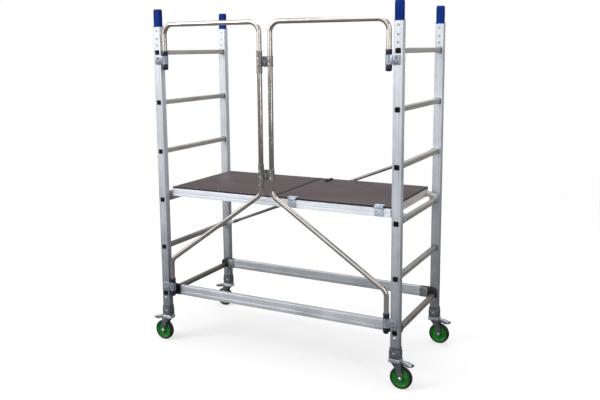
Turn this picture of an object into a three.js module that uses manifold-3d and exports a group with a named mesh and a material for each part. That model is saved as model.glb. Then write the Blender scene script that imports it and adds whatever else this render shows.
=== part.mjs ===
// Foldable aluminium frame scaffold section on braked castors.
// Two ladder end frames stand at +X and -X. A two-leaf bent-tube gate joins them at the front,
// two hook-on braces tie their bottom rungs, a hook-on diagonal stiffens the rear,
// and a deck with a trapdoor hangs on the fourth rung from the top.
// Millimetres, +Z up, floor at z = 0, front of the scaffold towards -Y.
import * as THREE from 'three';
import { mergeVertices } from 'three/addons/utils/BufferGeometryUtils.js';
import Module from 'manifold-3d';

const wasm = await Module();
wasm.setup();

// ---------- driving dimensions ----------
const SHIFT_Y = 15.2;          // centres the whole section on the origin in Y

const POST_X = 760;            // centre of an upright from the middle, along X
const POST_Y = 355;            // centre of an upright from the frame's middle, along Y
const POST_W = 52;             // upright section along X
const POST_D = 40;             // upright section along Y
const POST_WALL = 2.2;
const POST_Z0 = 222;
const POST_Z1 = 1966;

const RUNG_SIZE = 28;
const RUNG_WALL = 2;
const RUNG_HALF = 376.5;       // the rung ends stand just proud of the uprights
const RUNG_Z = [315, 615, 915, 1215, 1515, 1815];

const SPIGOT_W = 44.6;
const SPIGOT_D = 32.6;
const SPIGOT_Z0 = 1910;
const SPIGOT_Z1 = 2070;

const WHEEL_R = 62.5;
const WHEEL_W = 32;
const CASTOR_TRAIL = 33;       // axle set back outwards from the swivel axis
const AXLE_R = 5;

const GATE_TUBE_R = 14;
const GATE_TUBE_WALL = 2;
const GATE_BEND_R = 60;
const GATE_END_X = 708;        // pivot line of a leaf beside its upright
const GATE_END_Y = -366;
const GATE_W = 675;            // leaf width between tube centres
const GATE_PROUD = 39;         // how far the middle of the gate stands forward
const GATE_TOP_Z = 1978;
const GATE_END_TOP_Z = 1717;
const GATE_MID_LOW_Z = 1014;   // corner below the middle tube
const GATE_END_HIGH_Z = 537;   // corner where the slanted tube meets the end tube
const GATE_BOTTOM_Z = 308;
const GATE_LOWER_BRACKET_Z = [338, 388];
const GATE_UPPER_BRACKET_Z = [1744, 1794];
const BUSH_H = 29;
const SLEEVE_BORE_R = 15.1;

const BRACE_H = 62;
const BRACE_T = 25;
const BRACE_Z0 = 302;
const BRACE_Y = 318.5;
const BRACE_HALF = 676;

const DIAG_R = 9.5;
const DIAG_Y = 347;
const DIAG_SLOPE = 0.398;
const DIAG_MID_Z = 906.5;
const DIAG_HALF = 690;

const DECK_HALF_X = 712;
const DECK_HALF_Y = 330;
const DECK_TOP_Z = 993;
const DECK_BOARD_T = 9.7;
const DECK_RAIL_Z0 = 935;
const DECK_RAIL_Z1 = 983;
const DECK_SEAM = 1.5;
const HATCH_AXIS_Y = -335.2;
const HATCH_AXIS_Z = 988;

// ---------- materials ----------
const finish = (color, roughness, metalness) => () => new THREE.MeshStandardMaterial({ color, roughness, metalness });
const ALU_POST = finish(0xc3c8cf, 0.42, 0.85);
const ALU_RUNG = finish(0xaaa89c, 0.5, 0.8);
const ALU_RAIL = finish(0xb9c2cb, 0.4, 0.85);
const STEEL_TUBE = finish(0xb9b2a6, 0.22, 0.95);
const ZINC = finish(0x9aa0a8, 0.42, 0.85);
const BLUE = finish(0x14286e, 0.45, 0);
const BLACK = finish(0x17181b, 0.55, 0);
const GREEN = finish(0x176a26, 0.5, 0);
const BOARD = finish(0x5f5752, 0.8, 0);

// ---------- geometry helpers ----------
// One closed, outward-facing indexed surface from any three.js geometry.
function closed(source) {
  const g = source.index ? source.clone() : source.clone();
  for (const name of Object.keys(g.attributes)) if (name !== 'position') g.deleteAttribute(name);
  const m = mergeVertices(g, 1e-3);
  const p = m.attributes.position.array;
  const idx = m.index.array;
  const keep = [];
  for (let i = 0; i < idx.length; i += 3) {
    const [a, b, c] = [idx[i], idx[i + 1], idx[i + 2]];
    if (a !== b && b !== c && c !== a) keep.push(a, b, c);
  }
  let volume = 0;
  for (let i = 0; i < keep.length; i += 3) {
    const [a, b, c] = [keep[i] * 3, keep[i + 1] * 3, keep[i + 2] * 3];
    volume += p[a] * (p[b + 1] * p[c + 2] - p[b + 2] * p[c + 1])
      + p[a + 1] * (p[b + 2] * p[c] - p[b] * p[c + 2])
      + p[a + 2] * (p[b] * p[c + 1] - p[b + 1] * p[c]);
  }
  if (volume < 0) for (let i = 0; i < keep.length; i += 3) [keep[i + 1], keep[i + 2]] = [keep[i + 2], keep[i + 1]];
  m.setIndex(keep);
  return m;
}

const toSolid = (g) => {
  const c = closed(g);
  return new wasm.Manifold(new wasm.Mesh({
    numProp: 3,
    vertProperties: new Float32Array(c.attributes.position.array),
    triVerts: new Uint32Array(c.index.array),
  }));
};

const toGeometry = (solid) => {
  const m = solid.getMesh();
  const g = new THREE.BufferGeometry();
  g.setAttribute('position', new THREE.BufferAttribute(new Float32Array(m.vertProperties), 3));
  g.setIndex(Array.from(m.triVerts));
  g.computeVertexNormals();
  return g;
};

const joined = (parts, cuts = []) => {
  let s = toSolid(parts[0]);
  for (const p of parts.slice(1)) s = s.add(toSolid(p));
  for (const c of cuts) s = s.subtract(toSolid(c));
  return toGeometry(s);
};

const outline = (points) => new THREE.Shape(points.map(([x, y]) => new THREE.Vector2(x, y)));

// Rectangle with rounded corners, n straight steps to a corner.
function roundedRect(w, h, r, n = 2, cx = 0, cy = 0) {
  const pts = [];
  const corners = [[w / 2 - r, h / 2 - r, 0], [-w / 2 + r, h / 2 - r, 90], [-w / 2 + r, -h / 2 + r, 180], [w / 2 - r, -h / 2 + r, 270]];
  for (const [x, y, a] of corners) {
    for (let i = 0; i <= n; i++) {
      const t = THREE.MathUtils.degToRad(a + 90 * i / n);
      pts.push([cx + x + r * Math.cos(t), cy + y + r * Math.sin(t)]);
    }
  }
  return pts;
}

const rect = (w, h, cx = 0, cy = 0) => [[cx + w / 2, cy + h / 2], [cx - w / 2, cy + h / 2], [cx - w / 2, cy - h / 2], [cx + w / 2, cy - h / 2]];

function circle(r, n, cx = 0, cy = 0) {
  const pts = [];
  for (let i = 0; i < n; i++) {
    const t = 2 * Math.PI * (i + 0.5) / n;
    pts.push([cx + r * Math.cos(t), cy + r * Math.sin(t)]);
  }
  return pts;
}

// Extrusions of a flat outline along each axis.
function alongZ(points, z0, z1, holes = []) {
  const s = outline(points);
  for (const h of holes) s.holes.push(new THREE.Path(h.map(([x, y]) => new THREE.Vector2(x, y))));
  return new THREE.ExtrudeGeometry(s, { depth: z1 - z0, bevelEnabled: false, steps: 1 }).translate(0, 0, z0);
}
// points are (y, z)
function alongX(points, x0, x1, holes = []) {
  const g = alongZ(points, 0, x1 - x0, holes);
  g.applyMatrix4(new THREE.Matrix4().set(0, 0, 1, x0, 1, 0, 0, 0, 0, 1, 0, 0, 0, 0, 0, 1));
  return g;
}
// points are (x, z)
function alongY(points, y0, y1, holes = []) {
  const g = alongZ(points, 0, y1 - y0, holes);
  g.applyMatrix4(new THREE.Matrix4().set(1, 0, 0, 0, 0, 0, -1, y1, 0, 1, 0, 0, 0, 0, 0, 1));
  return g;
}
const box = (x0, x1, y0, y1, z0, z1) => new THREE.BoxGeometry(x1 - x0, y1 - y0, z1 - z0)
  .translate((x0 + x1) / 2, (y0 + y1) / 2, (z0 + z1) / 2);
const rodZ = (r, x, y, z0, z1, n = 14) => alongZ(circle(r, n, x, y), z0, z1);
const rodY = (r, x, z, y0, y1, n = 14) => alongY(circle(r, n, x, z), y0, y1);
const rodX = (r, y, z, x0, x1, n = 10) => alongX(circle(r, n, y, z), x0, x1);
const ringZ = (r, bore, x, y, z0, z1, n = 16) => alongZ(circle(r, n, x, y), z0, z1, [circle(bore, n, x, y)]);

// A path that is sampled only at chosen stations: straight runs take one step.
class StationPath extends THREE.Curve {
  constructor(stations) {
    super();
    this.stations = stations;
  }
  station(t) { return this.stations[Math.round(t * (this.stations.length - 1))]; }
  getPoint(t, target = new THREE.Vector3()) { return target.copy(this.station(t).p); }
  getPointAt(t, target = new THREE.Vector3()) { return target.copy(this.station(t).p); }
  getTangent(t, target = new THREE.Vector3()) { return target.copy(this.station(t).d); }
  getTangentAt(t, target = new THREE.Vector3()) { return target.copy(this.station(t).d); }
  getSpacedPoints() { return this.stations.map((s) => s.p.clone()); }
}

function filletPath(corners, radius, n) {
  const v = corners.map(([x, z]) => new THREE.Vector3(x, 0, z));
  const dir = (a, b) => b.clone().sub(a).normalize();
  const stations = [{ p: v[0].clone(), d: dir(v[0], v[1]) }];
  for (let i = 1; i < v.length - 1; i++) {
    const a = dir(v[i - 1], v[i]);
    const b = dir(v[i], v[i + 1]);
    const turn = Math.acos(THREE.MathUtils.clamp(a.dot(b), -1, 1));
    const cut = radius * Math.tan(turn / 2);
    const start = v[i].clone().addScaledVector(a, -cut);
    const inward = b.clone().addScaledVector(a, -a.dot(b)).normalize();
    const centre = start.clone().addScaledVector(inward, radius);
    for (let k = 0; k <= n; k++) {
      const t = turn * k / n;
      stations.push({
        p: centre.clone().addScaledVector(inward, -radius * Math.cos(t)).addScaledVector(a, radius * Math.sin(t)),
        d: a.clone().multiplyScalar(Math.cos(t)).addScaledVector(inward, Math.sin(t)).normalize(),
      });
    }
  }
  stations.push({ p: v.at(-1).clone(), d: dir(v.at(-2), v.at(-1)) });
  return new StationPath(stations);
}

// ---------- scene ----------
const scaffold = new THREE.Group();
scaffold.name = 'frame_scaffold_section';
scaffold.position.set(0, SHIFT_Y, 0);

const put = (name, geometry, material, parent = scaffold) => {
  const mesh = new THREE.Mesh(closed(geometry), material());
  mesh.geometry.computeVertexNormals();
  mesh.name = name;
  parent.add(mesh);
  return mesh;
};

const CORNERS = [['fl', -1, -1], ['fr', 1, -1], ['rl', -1, 1], ['rr', 1, 1]];

// ---------- end frames ----------
for (const [tag, sx, sy] of CORNERS) {
  const x = sx * POST_X;
  const y = sy * POST_Y;
  const tube = alongZ(roundedRect(POST_W, POST_D, 3.5, 1, x, y), POST_Z0, POST_Z1,
    [rect(POST_W - 2 * POST_WALL, POST_D - 2 * POST_WALL, x, y)]);
  const rungHoles = RUNG_Z.map((z) => alongY(roundedRect(RUNG_SIZE + 0.6, RUNG_SIZE + 0.6, 4.6, 1, x, z), y - 25, y + 25));
  put(`upright_${tag}`, joined([tube], rungHoles), ALU_POST);

  // Plastic spigot that the next section's upright slides over.
  put(`top_spigot_${tag}`, alongZ(roundedRect(SPIGOT_W, SPIGOT_D, 4, 1, x, y), SPIGOT_Z0, SPIGOT_Z1), BLUE);
}
for (const [tag, sx] of [['l', -1], ['r', 1]]) {
  RUNG_Z.forEach((z, i) => {
    put(`rung_${tag}${i + 1}`, alongY(roundedRect(RUNG_SIZE, RUNG_SIZE, 4.6, 1, sx * POST_X, z), -RUNG_HALF, RUNG_HALF,
      [roundedRect(RUNG_SIZE - 2 * RUNG_WALL, RUNG_SIZE - 2 * RUNG_WALL, 3.4, 1, sx * POST_X, z)]), ALU_RUNG);
  });
}

// ---------- castors ----------
// Local frame of a castor: origin on the floor under the swivel axis, +x outwards.
for (const [tag, sx, sy] of CORNERS) {
  const castor = new THREE.Group();
  castor.position.set(sx * POST_X, sy * POST_Y, 0);
  castor.rotation.z = sx > 0 ? 0 : Math.PI;
  scaffold.add(castor);

  // Stem in the upright, cup over the swivel bearing, and the riveted pin below it.
  const stemProfile = [[0, 161], [12, 161], [12, 167.6], [8, 167.6], [8, 214], [33.5, 214], [34.5, 180.4], [37, 180.4], [36, 213],
    [30, 221.6], [16, 221.6], [16, 296], [0, 296]];
  const stem = new THREE.LatheGeometry(stemProfile.map(([r, z]) => new THREE.Vector2(r, z)), 14);
  stem.rotateX(Math.PI / 2);
  put(`castor_stem_${tag}`, stem, ZINC, castor);

  const cheek = [[-34, 178], [34, 178], [38, 150], [43, 105], [46, 66], [42, 53], [33, 48], [24, 52], [17, 70], [2, 98], [-18, 126], [-33, 150]];
  const fork = joined(
    [alongY(cheek, 18, 22), alongY(cheek, -22, -18),
      alongZ(circle(34, 14), 170, 178),
      box(-34, -30.5, -21, 21, 147, 177)],
    [alongZ(circle(8.8, 10), 160, 190), rodY(AXLE_R + 0.8, CASTOR_TRAIL, WHEEL_R, -30, 30, 8)],
  );
  put(`castor_fork_${tag}`, fork, ZINC, castor);

  const wheelProfile = [[5.6, -15], [18, -15], [20, -9], [47, -9], [52, -16], [62.5, -8],
    [62.5, 8], [52, 16], [47, 9], [20, 9], [18, 15], [5.6, 15], [5.6, -15]];
  const wheel = new THREE.LatheGeometry(wheelProfile.map(([r, y]) => new THREE.Vector2(r, y)), 24);
  wheel.translate(CASTOR_TRAIL, 0, WHEEL_R);
  put(`wheel_${tag}`, wheel, GREEN, castor);

  const axleProfile = [[0, -27], [9, -27], [9, -22.4], [5, -22.4], [5, 22.4], [9, 22.4], [9, 27], [0, 27]];
  const axle = new THREE.LatheGeometry(axleProfile.map(([r, y]) => new THREE.Vector2(r, y)), 8);
  axle.translate(CASTOR_TRAIL, 0, WHEEL_R);
  put(`wheel_axle_${tag}`, axle, ZINC, castor);

  // Foot lever with its shoe over the tread.
  const lever = [[22, 150], [26, 155], [40, 157], [60, 155], [78, 150], [92, 144], [103, 141], [103, 137], [91, 140],
    [77, 146], [60, 151], [44, 152], [44, 131], [33, 131], [31, 141], [24, 143]];
  const pad = [[66, 154], [78, 150], [92, 144], [103, 141], [103, 137], [91, 140], [77, 146], [66, 149.6]];
  put(`brake_pedal_${tag}`, joined([alongY(lever, -12, 12), alongY(pad, -20, 20), rodY(6, 30, 148, -17.5, 17.5, 8)]), ZINC, castor);
}

// ---------- folding gate ----------
const gateAngle = Math.asin(GATE_PROUD / GATE_W);
const gateRun = GATE_W * Math.cos(gateAngle);
for (const [tag, sx] of [['l', -1], ['r', 1]]) {
  const leaf = new THREE.Group();
  leaf.position.set(sx * GATE_END_X, GATE_END_Y, 0);
  leaf.rotation.z = sx > 0 ? Math.PI + gateAngle : -gateAngle;
  scaffold.add(leaf);
  const path = filletPath([[0, GATE_END_TOP_Z], [0, GATE_TOP_Z], [GATE_W, GATE_TOP_Z], [GATE_W, GATE_MID_LOW_Z],
    [0, GATE_END_HIGH_Z], [0, GATE_BOTTOM_Z]], GATE_BEND_R, 4);
  const section = outline(circle(GATE_TUBE_R, 10));
  section.holes.push(new THREE.Path(circle(GATE_TUBE_R - GATE_TUBE_WALL, 6).map(([a, b]) => new THREE.Vector2(a, b))));
  put(`gate_leaf_${tag}`, new THREE.ExtrudeGeometry(section, {
    steps: path.stations.length - 1, bevelEnabled: false, extrudePath: path,
  }), STEEL_TUBE, leaf);

  // Pivot brackets: a clamp round the end tube between two bushes, with a plate screwed to the upright.
  for (const [level, [z0, z1]] of [['lower', GATE_LOWER_BRACKET_Z], ['upper', GATE_UPPER_BRACKET_Z]]) {
    const cx = sx * GATE_END_X;
    const x0 = Math.min(cx, sx * (POST_X + 12));
    const x1 = Math.max(cx, sx * (POST_X + 12));
    const low = level === 'lower' ? 27 : BUSH_H;
    put(`gate_bracket_${level}_${tag}`, joined(
      [rodZ(17.5, cx, GATE_END_Y, z0 - low, z1 + BUSH_H, 12), rodZ(19, cx, GATE_END_Y, z0, z1, 12),
        box(x0, x1, -380, -POST_Y - POST_D / 2 - 0.3, z0, z1)],
      [rodZ(SLEEVE_BORE_R, cx, GATE_END_Y, z0 - 60, z1 + 60, 12)],
    ), ZINC);
  }
}

// Hinges between the two middle tubes.
const midX = GATE_END_X - gateRun;
const midY = GATE_END_Y - GATE_PROUD;
for (const [level, zc] of [['lower', 1130], ['upper', 1762]]) {
  put(`gate_hinge_${level}`, joined(
    [rodZ(18, -midX, midY, zc - 66, zc + 58, 12), rodZ(18, midX, midY, zc - 30, zc + 30, 12),
      box(-midX, midX, midY - 4, midY + 4, zc - 29, zc + 29), rodZ(8, 0, midY, zc - 33, zc + 33, 8)],
    [rodZ(SLEEVE_BORE_R, -midX, midY, zc - 90, zc + 90, 12), rodZ(SLEEVE_BORE_R, midX, midY, zc - 90, zc + 90, 12)],
  ), ZINC);
}

// ---------- bottom braces ----------
const braceSection = (yc) => {
  const h = BRACE_T / 2;
  const m = BRACE_Z0 + BRACE_H / 2;
  return [[yc - h, BRACE_Z0], [yc + h, BRACE_Z0], [yc + h, m - 6], [yc + h - 2, m - 4], [yc + h - 2, m + 4], [yc + h, m + 6],
    [yc + h, BRACE_Z0 + BRACE_H], [yc - h, BRACE_Z0 + BRACE_H], [yc - h, m + 6], [yc - h + 2, m + 4], [yc - h + 2, m - 4], [yc - h, m - 6]];
};
for (const [tag, sy] of [['front', -1], ['rear', 1]]) {
  const yc = sy * BRACE_Y;
  const inner = roundedRect(BRACE_T - 9, BRACE_H - 5, 2, 1, yc, BRACE_Z0 + BRACE_H / 2);
  put(`${tag}_brace`, alongX(braceSection(yc), -BRACE_HALF, BRACE_HALF, [inner]), ALU_RAIL);
  for (const [side, sx] of [['l', -1], ['r', 1]]) {
    const claw = [[676.3, 300], [676.3, 364], [744, 366], [776, 352], [783, 344], [783, 303], [774.6, 303], [774.6, 329.4],
      [745.4, 329.4], [745.4, 304], [738, 300]].map(([x, z]) => [sx * x, z]);
    put(`${tag}_brace_claw_${side}`, alongY(claw, yc - 13, yc + 13), BLACK);
  }
}

// ---------- rear diagonal ----------
{
  const a = Math.atan(DIAG_SLOPE);
  const tube = alongX(circle(DIAG_R, 10), -DIAG_HALF / Math.cos(a), DIAG_HALF / Math.cos(a), [circle(DIAG_R - 1.6, 6)]);
  tube.rotateY(-a);
  tube.translate(0, DIAG_Y, DIAG_MID_Z);
  const ends = [];
  for (const sx of [-1, 1]) {
    const rungZ = sx > 0 ? RUNG_Z[3] : RUNG_Z[1];
    const zc = DIAG_MID_Z + DIAG_SLOPE * sx * DIAG_HALF;
    const top = rungZ + 26;
    const hook = [[682, zc - 10], [682, zc + 12], [742, top], [776, top], [783, top - 7], [783, rungZ - 10], [774.8, rungZ - 10],
      [774.8, rungZ + 14.6], [745.2, rungZ + 14.6], [745.2, rungZ - 12], [736, rungZ - 12], [700, zc - 10]].map(([x, z]) => [sx * x, z]);
    ends.push(alongY(hook, 317, 324));
    ends.push(box(sx > 0 ? 682 : -700, sx > 0 ? 700 : -682, 320, DIAG_Y + 6, zc - 9, zc + 9));
  }
  put('rear_diagonal_brace', joined([tube, ...ends]), STEEL_TUBE);
}

// ---------- deck ----------
{
  const z0 = DECK_RAIL_Z0;
  const z1 = DECK_RAIL_Z1;
  const rail = (sy) => alongX([[-330, z0], [-306, z0], [-306, z0 + 3], [-326.6, z0 + 3], [-326.6, z1 - 3], [-306, z1 - 3], [-306, z1],
    [-330, z1], [-330, z0 + 22], [-328.8, z0 + 20.5], [-328.8, z0 + 18], [-330, z0 + 16.5]].map(([y, z]) => [-sy * y, z]), -DECK_HALF_X, DECK_HALF_X);
  const endBeam = (sx) => alongY([[711, z0 + 1], [711, z1 - 1], [684, z1 - 1], [684, z1 - 4], [707.6, z1 - 4], [707.6, z0 + 4], [684, z0 + 4],
    [684, z0 + 1]].map(([x, z]) => [sx * x, z]), -327.8, 327.8);
  const crossBeam = (x, w) => alongY([[x - w, z0 + 4], [x - w + 3, z0 + 4], [x - w + 3, z1 - 4], [x + w - 3, z1 - 4], [x + w - 3, z0 + 4],
    [x + w, z0 + 4], [x + w, z1 - 0.7], [x - w, z1 - 0.7]], -327.5, 327.5);
  const hooks = [];
  for (const sx of [-1, 1]) {
    for (const sy of [-1, 1]) {
      const hook = [[709, 940], [709, 968], [736, 968], [750, 958], [776, 958], [784, 950], [784, 908], [774.9, 908], [774.9, 929.4],
        [745.1, 929.4], [745.1, 912], [738, 912], [738, 940]].map(([x, z]) => [sx * x, z]);
      hooks.push(alongY(hook, sy * 296 - 18, sy * 296 + 18));
    }
  }
  put('deck_frame', joined([rail(-1), rail(1), endBeam(-1), endBeam(1), crossBeam(0, 20), crossBeam(-236, 14), crossBeam(-474, 14), ...hooks]), ALU_RAIL);
  put('deck_board', box(-DECK_HALF_X, -DECK_SEAM, -DECK_HALF_Y, DECK_HALF_Y, DECK_TOP_Z - DECK_BOARD_T, DECK_TOP_Z), BOARD);
  put('hatch_board', box(DECK_SEAM, DECK_HALF_X, -DECK_HALF_Y, DECK_HALF_Y, DECK_TOP_Z - DECK_BOARD_T, DECK_TOP_Z), BOARD);

  const knuckles = [];
  for (const x0 of [97, 622]) {
    knuckles.push(rodX(4.4, HATCH_AXIS_Y, HATCH_AXIS_Z, x0, x0 + 50, 10));
    knuckles.push(box(x0, x0 + 50, -333.6, -330.3, 938, 985));
    knuckles.push(box(x0, x0 + 50, -337, -333, 980, 988));
  }
  put('hatch_hinge', joined([rodX(2.6, HATCH_AXIS_Y, HATCH_AXIS_Z, 90, 679, 6), ...knuckles]), ZINC);
  put('hatch_latch', joined([rodZ(14, 75, 238, DECK_TOP_Z + 0.4, 1004, 12), box(64, 86, 238, 324, DECK_TOP_Z + 0.4, 1001)]), BLACK);
}

export default scaffold;
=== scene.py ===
import math

import bmesh
import bpy
from mathutils import Matrix, Vector


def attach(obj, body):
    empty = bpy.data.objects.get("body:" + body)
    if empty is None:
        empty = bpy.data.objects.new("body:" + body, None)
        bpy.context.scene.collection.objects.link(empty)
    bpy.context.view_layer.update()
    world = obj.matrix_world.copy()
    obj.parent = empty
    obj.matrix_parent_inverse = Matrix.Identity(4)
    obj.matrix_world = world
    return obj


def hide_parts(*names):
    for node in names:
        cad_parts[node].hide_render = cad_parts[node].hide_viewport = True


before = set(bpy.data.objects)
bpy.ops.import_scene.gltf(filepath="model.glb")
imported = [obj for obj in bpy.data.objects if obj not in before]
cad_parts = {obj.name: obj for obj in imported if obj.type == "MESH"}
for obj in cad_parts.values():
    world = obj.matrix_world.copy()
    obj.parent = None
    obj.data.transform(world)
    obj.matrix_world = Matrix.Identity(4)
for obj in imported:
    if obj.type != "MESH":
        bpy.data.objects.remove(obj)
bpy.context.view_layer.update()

# ---------------------------------------------------------------- frame
# Sizes below are millimetres in the scaffold's own frame. The row frame is the same, 15.2 mm further along Y.
SY = 15.2
POST_X, POST_Y = 760.0, 355.0
RUNG_Z = [315, 615, 915, 1215, 1515, 1815]
CORNERS = [("fl", -1, -1), ("fr", 1, -1), ("rl", -1, 1), ("rr", 1, 1)]


# ---------------------------------------------------------------- camera
def camera():
    az, el, roll = 0.48716, 0.1543, -0.01015
    back = Vector((math.sin(az) * math.cos(el), -math.cos(az) * math.cos(el), math.sin(el)))
    right = (-back).cross(Vector((0, 0, 1))).normalized()
    up = right.cross(-back)
    r2 = math.cos(roll) * right + math.sin(roll) * up
    u2 = -math.sin(roll) * right + math.cos(roll) * up
    data = bpy.data.cameras.new("camera")
    data.sensor_width = 36.0
    data.lens = 44.496
    data.shift_x = 0.01743
    data.shift_y = -0.06
    data.clip_end = 200.0
    cam = bpy.data.objects.new("camera", data)
    bpy.context.collection.objects.link(cam)
    m = Matrix((r2, u2, back)).transposed().to_4x4()
    m.translation = Vector((2.0453, -3.9708, 1.8300))
    cam.matrix_world = m
    bpy.context.scene.camera = cam


camera()
bpy.context.scene.view_settings.view_transform = "Standard"


# ---------------------------------------------------------------- materials
class Nodes:
    def __init__(self, name):
        self.m = bpy.data.materials.new(name)
        self.m.use_nodes = True
        self.t = self.m.node_tree
        self.t.nodes.clear()
        self.out = self.add("ShaderNodeOutputMaterial")
        self.b = self.add("ShaderNodeBsdfPrincipled")
        self.link(self.b.outputs[0], self.out.inputs[0])
        self.tc = self.add("ShaderNodeTexCoord")

    def add(self, kind, **k):
        n = self.t.nodes.new(kind)
        for a, v in k.items():
            setattr(n, a, v)
        return n

    def link(self, a, b):
        self.t.links.new(a, b)

    def coords(self, scale=(1, 1, 1), rot=(0, 0, 0)):
        n = self.add("ShaderNodeMapping")
        n.inputs["Scale"].default_value = scale
        n.inputs["Rotation"].default_value = rot
        self.link(self.tc.outputs["Object"], n.inputs["Vector"])
        return n.outputs[0]

    def noise(self, vec, scale, detail=4.0, rough=0.55):
        n = self.add("ShaderNodeTexNoise")
        n.inputs["Scale"].default_value = scale
        n.inputs["Detail"].default_value = detail
        n.inputs["Roughness"].default_value = rough
        self.link(vec, n.inputs["Vector"])
        return n.outputs["Fac"]

    def ramp(self, fac, stops):
        n = self.add("ShaderNodeValToRGB")
        r = n.color_ramp
        while len(r.elements) < len(stops):
            r.elements.new(0.5)
        for e, (p, c) in zip(r.elements, stops):
            e.position = p
            e.color = (*c, 1) if len(c) == 3 else c
        self.link(fac, n.inputs["Fac"])
        return n.outputs["Color"]

    def mixc(self, fac, a, b, mode="MIX"):
        n = self.add("ShaderNodeMix", data_type="RGBA", blend_type=mode)
        for sock, v in ((n.inputs[0], fac), (n.inputs[6], a), (n.inputs[7], b)):
            if hasattr(v, "node"):
                self.link(v, sock)
            else:
                sock.default_value = (*v, 1) if isinstance(v, tuple) else v
        return n.outputs[2]

    def mapr(self, v, a0, a1, b0, b1):
        n = self.add("ShaderNodeMapRange")
        for i, x in enumerate((a0, a1, b0, b1)):
            n.inputs[i + 1].default_value = x
        self.link(v, n.inputs[0])
        return n.outputs[0]

    def math(self, op, a, b):
        n = self.add("ShaderNodeMath", operation=op)
        for i, v in enumerate((a, b)):
            if hasattr(v, "node"):
                self.link(v, n.inputs[i])
            else:
                n.inputs[i].default_value = v
        return n.outputs[0]

    def bump(self, h, dist, strength=1.0, under=None):
        n = self.add("ShaderNodeBump")
        n.inputs["Strength"].default_value = strength
        n.inputs["Distance"].default_value = dist
        self.link(h, n.inputs["Height"])
        if under is not None:
            self.link(under, n.inputs["Normal"])
        return n.outputs[0]

    def finish(self, color, rough, normal=None, **sockets):
        self.link(color, self.b.inputs["Base Color"])
        self.link(rough, self.b.inputs["Roughness"])
        if normal is not None:
            self.link(normal, self.b.inputs["Normal"])
        for k, v in sockets.items():
            self.b.inputs[k.replace("_", " ")].default_value = v
        return self.m


def s(r, g, b):
    """A colour given as 0-255 sRGB, as the linear colour the shader takes."""
    f = lambda c: (c / 255 / 12.92) if c <= 10 else ((c / 255 + 0.055) / 1.055) ** 2.4
    return (f(r), f(g), f(b))


def drawn_metal(name, low, mid, high, stretch, lines=520.0, rough=(0.3, 0.46), metallic=0.9, blotch=5.0, depth=0.00008, grime=None, painted_low_shade=None):
    """Extruded or drawn metal: fine die lines along one direction, soft blotches, small handling marks."""
    n = Nodes(name)
    along = n.noise(n.coords(stretch), lines, 5.0, 0.6)
    broad = n.noise(n.coords(), blotch, 5.0, 0.6)
    marks = n.noise(n.coords(tuple(0.35 + 0.65 * v for v in stretch)), lines * 0.28, 2.0, 0.5)
    tone = n.math("ADD", n.math("MULTIPLY", along, 0.45), n.math("MULTIPLY", broad, 0.55))
    col = n.ramp(tone, [(0.34, low), (0.5, mid), (0.66, high)])
    if grime:
        dirt = n.ramp(n.noise(n.coords(), 34.0, 8.0, 0.7), [(0.56, (0, 0, 0)), (0.78, (1, 1, 1))])
        col = n.mixc(n.math("MULTIPLY", dirt, 0.35), col, grime)
    if painted_low_shade:
        # painted shade: the colour is made darker towards the ground, unevenly
        z = n.add("ShaderNodeSeparateXYZ")
        n.link(n.coords(), z.inputs[0])
        height = n.math("ADD", z.outputs["Z"], n.mapr(broad, 0.3, 0.7, -0.12, 0.12))
        amount = n.add("ShaderNodeValToRGB")
        amount.color_ramp.elements[0].position, amount.color_ramp.elements[0].color = 0.1, (0.92, 0.92, 0.92, 1)
        amount.color_ramp.elements[1].position, amount.color_ramp.elements[1].color = 0.95, (0, 0, 0, 1)
        for at, much in ((0.3, 0.52), (0.5, 0.2), (0.7, 0.07)):
            amount.color_ramp.elements.new(at).color = (much, much, much, 1)
        n.link(n.mapr(height, 0.0, 2.0, 0.0, 1.0), amount.inputs[0])
        col = n.mixc(amount.outputs["Color"], col, painted_low_shade)
    r = n.math("ADD", n.mapr(along, 0.3, 0.7, rough[0], rough[1]), n.mapr(marks, 0.55, 0.75, 0.0, 0.1))
    r = n.math("ADD", r, n.mapr(broad, 0.3, 0.7, -0.03, 0.05))
    return n.finish(col, r, n.bump(along, depth, 0.8), Metallic=metallic)


def plated(name, low, mid, high, rough=(0.3, 0.5), metallic=0.85, cell=150.0, depth=0.00008):
    """Zinc plate: faint crystal patches, dull spots and a slight orange peel."""
    n = Nodes(name)
    v = n.add("ShaderNodeTexVoronoi")
    v.inputs["Scale"].default_value = cell
    n.link(n.coords(), v.inputs["Vector"])
    patch = n.mapr(v.outputs["Color"], 0.0, 1.0, 0.0, 1.0)
    broad = n.noise(n.coords(), 16.0, 6.0, 0.6)
    fine = n.noise(n.coords(), 620.0, 3.0, 0.6)
    tone = n.math("ADD", n.math("MULTIPLY", patch, 0.22), n.math("MULTIPLY", broad, 0.78))
    col = n.ramp(tone, [(0.3, low), (0.5, mid), (0.72, high)])
    r = n.math("ADD", n.mapr(broad, 0.3, 0.7, rough[0], rough[1]), n.mapr(patch, 0, 1, -0.04, 0.04))
    return n.finish(col, r, n.bump(fine, depth, 0.7), Metallic=metallic)


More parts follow.
